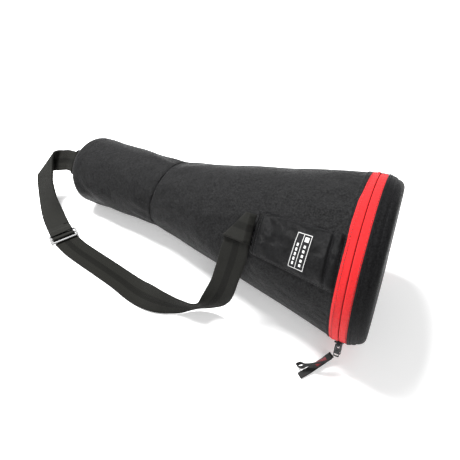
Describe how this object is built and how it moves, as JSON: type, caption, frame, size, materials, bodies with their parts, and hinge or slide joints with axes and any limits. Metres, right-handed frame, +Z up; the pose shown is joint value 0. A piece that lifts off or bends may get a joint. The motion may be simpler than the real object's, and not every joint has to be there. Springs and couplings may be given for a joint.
{
  "type": "padded telescope carry case",
  "caption": "Padded tapered carry case with a narrow sleeve, flared body, round moulded lid closed by a red ring zipper, and a shoulder strap with a ring and sliding adjuster.",
  "frame": {"origin": "middle of the bottom of the case as it lies on the ground, strap left out", "axes": "+X from the narrow end to the lid, +Y to the back, +Z up; the case's own axis rises 5.7 degrees towards the lid"},
  "size_m": [0.8399, 0.3663, 0.2869],
  "materials": {
    "end_cap": "woven cover over a moulded cup",
    "outer_fabric": "heavy woven polyester",
    "foam": "closed-cell foam",
    "lining_cloth": "thin woven lining",
    "binding": "bound edge",
    "zipper_tape": "woven tape",
    "zipper_coil": "nylon coil",
    "lid_shell": "woven cover over a moulded lid",
    "label": "printed patch",
    "strap_webbing": "heavy flat webbing",
    "dark_metal": "black coated metal",
    "bright_metal": "plated wire and plate",
    "pull_webbing": "narrow webbing",
    "pull_patch": "dense stitching"
  },
  "bodies": {
    "case": {"narrow_end_cap": "end_cap", "narrow_end_foam": "foam", "outer_sleeve": "outer_fabric", "foam_sleeve": "foam", "outer_flare": "outer_fabric", "foam_flare": "foam", "lining": "lining_cloth", "mouth_binding": "binding", "body_zipper_tape": "zipper_tape", "body_zipper_coil": "zipper_coil", "hinge_panel": "outer_fabric", "zipper_end_stop_a": "zipper_coil", "zipper_end_stop_b": "zipper_coil", "anchor_pad": "foam", "anchor_panel": "outer_fabric", "label_patch": "label", "ring_tab": "strap_webbing", "strap_run": "strap_webbing", "strap_return": "strap_webbing"},
    "lid": {"lid_shell": "lid_shell", "lid_foam": "foam", "lid_lining": "lining_cloth", "lid_zipper_coil": "zipper_coil", "lid_zipper_tape": "zipper_tape"},
    "slider_a": {"slider_a": "dark_metal"},
    "slider_b": {"slider_b": "dark_metal"},
    "pull_a": {"pull_tab_a": "dark_metal", "pull_webbing_a": "pull_webbing", "pull_patch_a": "pull_patch"},
    "pull_b": {"pull_tab_b": "dark_metal", "pull_webbing_b": "pull_webbing", "pull_patch_b": "pull_patch"},
    "ring": {"strap_ring": "dark_metal"},
    "adjuster": {"adjuster": "bright_metal", "strap_end": "strap_webbing"}
  },
  "joints": [
    {"name": "lid_hinge", "type": "hinge", "parent": "case", "child": "lid", "pos_m": [0.30007, 0.13676, 0.22905], "axis": [-0.0553, -0.6018, 0.7968], "range_deg": [0, 110], "deforming": ["hinge_panel"]},
    {"name": "slider_a_travel", "type": "hinge", "parent": "case", "child": "slider_a", "pos_m": [0.32045, 0.0187, 0.1413], "axis": [0.989, 0.0767, 0.1265], "range_deg": [0, 142]},
    {"name": "slider_b_travel", "type": "hinge", "parent": "case", "child": "slider_b", "pos_m": [0.32045, 0.0187, 0.1413], "axis": [0.989, 0.0767, 0.1265], "range_deg": [-142, 0]},
    {"name": "pull_a_swing", "type": "hinge", "parent": "slider_a", "child": "pull_a", "pos_m": [0.34182, -0.09297, 0.04193], "axis": [0.989, 0.0767, 0.1265], "range_deg": [-6, 0]},
    {"name": "pull_b_swing", "type": "hinge", "parent": "slider_b", "child": "pull_b", "pos_m": [0.34036, -0.10881, 0.0629], "axis": [0.989, 0.0767, 0.1265], "range_deg": [-95, 0]},
    {"name": "ring_swing", "type": "hinge", "parent": "case", "child": "ring", "pos_m": [-0.34648, -0.01171, 0.10548], "axis": [-0.07, 0.7071, 0.7036], "range_deg": [-10, 10], "deforming": ["strap_run", "strap_return"]},
    {"name": "adjuster_slide", "type": "slide", "parent": "case", "child": "adjuster", "axis": [0.95, -0.3122, 0], "range_m": [-0.015, 0.05], "deforming": ["strap_return"]}
  ]
}
